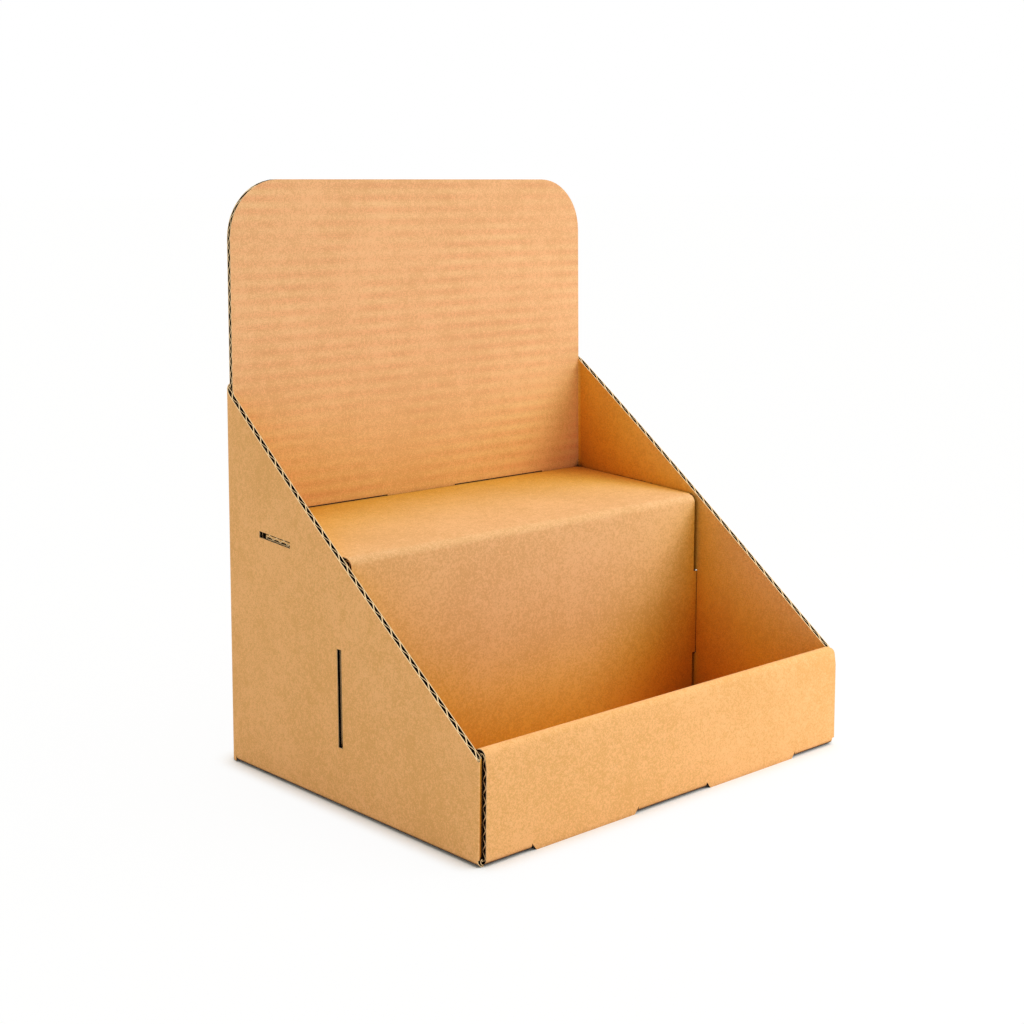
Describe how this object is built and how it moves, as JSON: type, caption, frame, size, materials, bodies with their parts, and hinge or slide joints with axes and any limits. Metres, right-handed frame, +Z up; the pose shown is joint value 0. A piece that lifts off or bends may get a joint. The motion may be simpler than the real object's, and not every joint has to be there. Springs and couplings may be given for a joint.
{
  "type": "cardboard display stand",
  "caption": "Counter display stand folded from corrugated board, with a low rolled front, sloping sides, a rounded header and a step insert held by tabs.",
  "frame": {"origin": "centre of the base on the surface the stand rests on", "axes": "+X to the right along the front, +Y from the low front to the header, +Z up"},
  "size_m": [0.2502, 0.1966, 0.2932],
  "materials": {
    "kraft_stand": "matte unbleached kraft liner",
    "kraft_step": "matte unbleached kraft liner"
  },
  "bodies": {
    "root": {"folded_stand": "kraft_stand", "step_insert": "kraft_step"}
  },
  "joints": []
}
